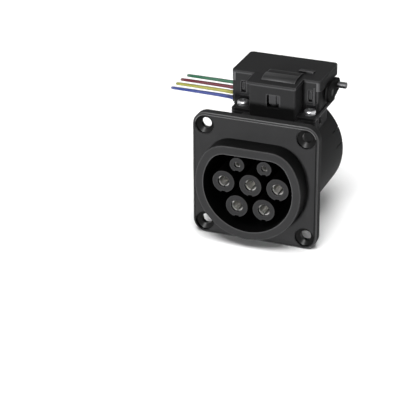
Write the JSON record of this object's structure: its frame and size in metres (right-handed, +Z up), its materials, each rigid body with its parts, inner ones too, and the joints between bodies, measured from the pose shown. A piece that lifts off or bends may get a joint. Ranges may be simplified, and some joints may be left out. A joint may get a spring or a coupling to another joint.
{
  "type": "electric vehicle charging socket",
  "caption": "Square-flanged panel charging socket with a D-shaped well of contact tubes, a round barrel and a lock actuator with a release lever and free leads.",
  "frame": {"origin": "the socket's axis, which is the centre contact's, at the flange's front face", "axes": "+X to the viewer's right, +Y backwards through the panel, +Z up, towards the actuator"},
  "size_m": [0.1103, 0.0869, 0.0881],
  "materials": {
    "housing": "fine matt moulding",
    "carrier": "matt moulding",
    "actuator": "satin moulding",
    "actuator_lid": "satin moulding",
    "bolt": "satin moulding",
    "gear": "natural acetal",
    "rubber": "soft matt",
    "plated_steel": "bright zinc plating",
    "motor_can": "drawn steel",
    "pinion_brass": "turned",
    "contact": "silver plated copper alloy",
    "tie": "nylon",
    "wire_green": "insulation",
    "wire_dark_red": "insulation",
    "wire_yellow": "insulation",
    "wire_blue": "insulation"
  },
  "bodies": {
    "socket": {"front_housing": "housing", "contact_carrier": "carrier", "contact_retainer": "carrier", "rear_cap": "housing", "bolt_guide": "actuator", "bolt_seal": "rubber", "actuator_body": "actuator", "actuator_lid": "actuator_lid", "actuator_screws": "plated_steel", "shaft_seal": "rubber", "drive_motor": "motor_can", "position_switch": "actuator", "wire_grommet": "rubber", "coil_tie": "tie", "power_tube_1": "carrier", "power_contact_1": "contact", "power_tube_2": "carrier", "power_contact_2": "contact", "power_tube_3": "carrier", "power_contact_3": "contact", "power_tube_4": "carrier", "power_contact_4": "contact", "power_tube_5": "carrier", "power_contact_5": "contact", "signal_tube_1": "carrier", "signal_contact_1": "contact", "signal_tube_2": "carrier", "signal_contact_2": "contact", "lead_green": "wire_green", "lead_coil_green": "wire_green", "lead_dark_red": "wire_dark_red", "lead_coil_dark_red": "wire_dark_red", "lead_yellow": "wire_yellow", "lead_coil_yellow": "wire_yellow", "lead_blue": "wire_blue", "lead_coil_blue": "wire_blue"},
    "release_shaft": {"output_shaft": "plated_steel", "sector_gear": "gear", "output_gear": "gear", "release_lever": "actuator", "release_pin": "plated_steel"},
    "lock_bolt": {"lock_bolt": "bolt"},
    "lay_shaft": {"lay_shaft": "plated_steel", "lay_gear": "gear"},
    "motor_rotor": {"motor_shaft": "plated_steel", "motor_pinion": "pinion_brass"}
  },
  "joints": [
    {"name": "release_turn", "type": "hinge", "parent": "socket", "child": "release_shaft", "pos_m": [0, 0.052, 0.0381], "axis": [1, 0, 0], "range_deg": [0, 25]},
    {"name": "bolt_slide", "type": "slide", "parent": "socket", "child": "lock_bolt", "axis": [0, 0, -1], "range_m": [0, 0.007]},
    {"name": "lay_spin", "type": "hinge", "parent": "socket", "child": "lay_shaft", "pos_m": [0, 0.0604, 0.0381], "axis": [1, 0, 0], "range_deg": [-80.5, 0]},
    {"name": "motor_spin", "type": "hinge", "parent": "socket", "child": "motor_rotor", "pos_m": [0, 0.052, 0.0381], "axis": [1, 0, 0], "range_deg": [0, 257]}
  ],
  "couplings": [
    {"joint": "bolt_slide", "follows": "release_turn", "m_per_rad": 0.016},
    {"joint": "lay_spin", "follows": "release_turn", "ratio": -3.2},
    {"joint": "motor_spin", "follows": "release_turn", "ratio": 10.24}
  ]
}
